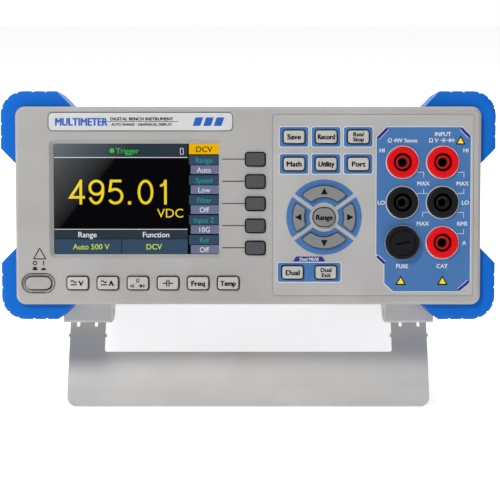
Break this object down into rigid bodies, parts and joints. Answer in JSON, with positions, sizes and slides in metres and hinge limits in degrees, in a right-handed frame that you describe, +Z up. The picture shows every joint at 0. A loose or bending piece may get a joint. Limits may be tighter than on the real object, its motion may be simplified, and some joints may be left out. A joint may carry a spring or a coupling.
{
  "type": "bench multimeter",
  "caption": "Bench multimeter in a steel case with rubber corner bumpers, keypad and colour display, 4 mm input sockets, rear connectors and a fold-out tilt stand.",
  "frame": {"origin": "bottom centre of the whole instrument's box, standing on its tilt stand and rear feet", "axes": "+X to the right seen from the front, +Y from the front to the back, +Z up; the case leans back 10.11 degrees"},
  "size_m": [0.237, 0.3052, 0.1586],
  "materials": {
    "panel_plastic": "satin",
    "overlay_plastic": "satin",
    "bumper_rubber": "matte",
    "light_key": "satin",
    "pad_key": "satin",
    "dark_key": "satin",
    "window_glass": "gloss",
    "lcd_case": "brushed",
    "red_plastic": "gloss",
    "black_plastic": "satin",
    "contact_metal": "bright",
    "cover_steel": "fine texture",
    "bare_steel": "zinc plated",
    "stand_metal": "matte",
    "circuit_board": "matte",
    "iron_core": "matte",
    "fuse_glass": "clear",
    "connector_metal": "nickel"
  },
  "bodies": {
    "case": {"socket_sense_high": "red_plastic", "socket_input_high": "red_plastic", "socket_sense_low": "black_plastic", "socket_input_low": "black_plastic", "socket_amps": "red_plastic", "front_panel": "panel_plastic", "keypad_overlay": "overlay_plastic", "title_plate": "overlay_plastic", "display_window": "window_glass", "lcd_module": "lcd_case", "key_board": "circuit_board", "power_switch": "black_plastic", "jack_contacts": "contact_metal", "fuse_holder": "black_plastic", "top_cover": "cover_steel", "chassis_tray": "bare_steel", "front_bumpers": "bumper_rubber", "rear_bumpers": "bumper_rubber", "hinge_brackets": "stand_metal", "hinge_pins": "bare_steel", "rear_feet": "black_plastic", "main_board": "circuit_board", "power_transformer": "iron_core", "rear_panel": "cover_steel", "mains_inlet": "black_plastic", "serial_port": "connector_metal", "lan_port": "connector_metal", "usb_port": "connector_metal", "bnc_sockets": "connector_metal", "rear_screws": "bare_steel"},
    "softkey_1": {"softkey_1": "dark_key"},
    "softkey_2": {"softkey_2": "dark_key"},
    "softkey_3": {"softkey_3": "dark_key"},
    "softkey_4": {"softkey_4": "dark_key"},
    "softkey_5": {"softkey_5": "dark_key"},
    "key_volts": {"key_volts": "light_key"},
    "key_amps": {"key_amps": "light_key"},
    "key_ohms": {"key_ohms": "light_key"},
    "key_capacitance": {"key_capacitance": "light_key"},
    "key_frequency": {"key_frequency": "light_key"},
    "key_temperature": {"key_temperature": "light_key"},
    "key_save": {"key_save": "light_key"},
    "key_record": {"key_record": "light_key"},
    "key_run_stop": {"key_run_stop": "light_key"},
    "key_math": {"key_math": "light_key"},
    "key_utility": {"key_utility": "light_key"},
    "key_port": {"key_port": "light_key"},
    "key_dual": {"key_dual": "light_key"},
    "key_dual_exit": {"key_dual_exit": "light_key"},
    "key_up": {"key_up": "pad_key"},
    "key_down": {"key_down": "pad_key"},
    "key_left": {"key_left": "pad_key"},
    "key_right": {"key_right": "pad_key"},
    "key_range": {"key_range": "pad_key"},
    "power_button": {"power_button": "light_key"},
    "stand": {"tilt_stand": "stand_metal"},
    "fuse_carrier": {"fuse_carrier": "black_plastic", "fuse_link": "fuse_glass"},
    "fuse_cap": {"fuse_cap": "black_plastic"},
    "mains_fuse_drawer": {"mains_fuse_drawer": "black_plastic"}
  },
  "joints": [
    {"name": "softkey_1_press", "type": "slide", "parent": "case", "child": "softkey_1", "axis": [0, 0.9845, -0.1755], "range_m": [0, 0.0008], "stiffness_N_per_m": 300},
    {"name": "softkey_2_press", "type": "slide", "parent": "case", "child": "softkey_2", "axis": [0, 0.9845, -0.1755], "range_m": [0, 0.0008], "stiffness_N_per_m": 300},
    {"name": "softkey_3_press", "type": "slide", "parent": "case", "child": "softkey_3", "axis": [0, 0.9845, -0.1755], "range_m": [0, 0.0008], "stiffness_N_per_m": 300},
    {"name": "softkey_4_press", "type": "slide", "parent": "case", "child": "softkey_4", "axis": [0, 0.9845, -0.1755], "range_m": [0, 0.0008], "stiffness_N_per_m": 300},
    {"name": "softkey_5_press", "type": "slide", "parent": "case", "child": "softkey_5", "axis": [0, 0.9845, -0.1755], "range_m": [0, 0.0008], "stiffness_N_per_m": 300},
    {"name": "key_volts_press", "type": "slide", "parent": "case", "child": "key_volts", "axis": [0, 0.9845, -0.1755], "range_m": [0, 0.0008], "stiffness_N_per_m": 300},
    {"name": "key_amps_press", "type": "slide", "parent": "case", "child": "key_amps", "axis": [0, 0.9845, -0.1755], "range_m": [0, 0.0008], "stiffness_N_per_m": 300},
    {"name": "key_ohms_press", "type": "slide", "parent": "case", "child": "key_ohms", "axis": [0, 0.9845, -0.1755], "range_m": [0, 0.0008], "stiffness_N_per_m": 300},
    {"name": "key_capacitance_press", "type": "slide", "parent": "case", "child": "key_capacitance", "axis": [0, 0.9845, -0.1755], "range_m": [0, 0.0008], "stiffness_N_per_m": 300},
    {"name": "key_frequency_press", "type": "slide", "parent": "case", "child": "key_frequency", "axis": [0, 0.9845, -0.1755], "range_m": [0, 0.0008], "stiffness_N_per_m": 300},
    {"name": "key_temperature_press", "type": "slide", "parent": "case", "child": "key_temperature", "axis": [0, 0.9845, -0.1755], "range_m": [0, 0.0008], "stiffness_N_per_m": 300},
    {"name": "key_save_press", "type": "slide", "parent": "case", "child": "key_save", "axis": [0, 0.9845, -0.1755], "range_m": [0, 0.0008], "stiffness_N_per_m": 300},
    {"name": "key_record_press", "type": "slide", "parent": "case", "child": "key_record", "axis": [0, 0.9845, -0.1755], "range_m": [0, 0.0008], "stiffness_N_per_m": 300},
    {"name": "key_run_stop_press", "type": "slide", "parent": "case", "child": "key_run_stop", "axis": [0, 0.9845, -0.1755], "range_m": [0, 0.0008], "stiffness_N_per_m": 300},
    {"name": "key_math_press", "type": "slide", "parent": "case", "child": "key_math", "axis": [0, 0.9845, -0.1755], "range_m": [0, 0.0008], "stiffness_N_per_m": 300},
    {"name": "key_utility_press", "type": "slide", "parent": "case", "child": "key_utility", "axis": [0, 0.9845, -0.1755], "range_m": [0, 0.0008], "stiffness_N_per_m": 300},
    {"name": "key_port_press", "type": "slide", "parent": "case", "child": "key_port", "axis": [0, 0.9845, -0.1755], "range_m": [0, 0.0008], "stiffness_N_per_m": 300},
    {"name": "key_dual_press", "type": "slide", "parent": "case", "child": "key_dual", "axis": [0, 0.9845, -0.1755], "range_m": [0, 0.0008], "stiffness_N_per_m": 300},
    {"name": "key_dual_exit_press", "type": "slide", "parent": "case", "child": "key_dual_exit", "axis": [0, 0.9845, -0.1755], "range_m": [0, 0.0008], "stiffness_N_per_m": 300},
    {"name": "key_up_press", "type": "slide", "parent": "case", "child": "key_up", "axis": [0, 0.9845, -0.1755], "range_m": [0, 0.0008], "stiffness_N_per_m": 300},
    {"name": "key_down_press", "type": "slide", "parent": "case", "child": "key_down", "axis": [0, 0.9845, -0.1755], "range_m": [0, 0.0008], "stiffness_N_per_m": 300},
    {"name": "key_left_press", "type": "slide", "parent": "case", "child": "key_left", "axis": [0, 0.9845, -0.1755], "range_m": [0, 0.0008], "stiffness_N_per_m": 300},
    {"name": "key_right_press", "type": "slide", "parent": "case", "child": "key_right", "axis": [0, 0.9845, -0.1755], "range_m": [0, 0.0008], "stiffness_N_per_m": 300},
    {"name": "key_range_press", "type": "slide", "parent": "case", "child": "key_range", "axis": [0, 0.9845, -0.1755], "range_m": [0, 0.0008], "stiffness_N_per_m": 300},
    {"name": "power_button_press", "type": "slide", "parent": "case", "child": "power_button", "axis": [0, 0.9845, -0.1755], "range_m": [-0.0022, 0.0008]},
    {"name": "stand_hinge", "type": "hinge", "parent": "case", "child": "stand", "pos_m": [0, -0.10489, 0.04337], "axis": [1, 0, 0], "range_deg": [0, 112]},
    {"name": "fuse_carrier_slide", "type": "slide", "parent": "case", "child": "fuse_carrier", "axis": [0, -0.9845, 0.1755], "range_m": [0, 0.042]},
    {"name": "fuse_cap_turn", "type": "hinge", "parent": "fuse_carrier", "child": "fuse_cap", "pos_m": [0.0731, -0.15044, 0.08928], "axis": [0, -0.9845, 0.1755], "range_deg": [0, 90]},
    {"name": "mains_fuse_drawer_slide", "type": "slide", "parent": "case", "child": "mains_fuse_drawer", "axis": [0, 0.9845, -0.1755], "range_m": [0, 0.018]}
  ]
}
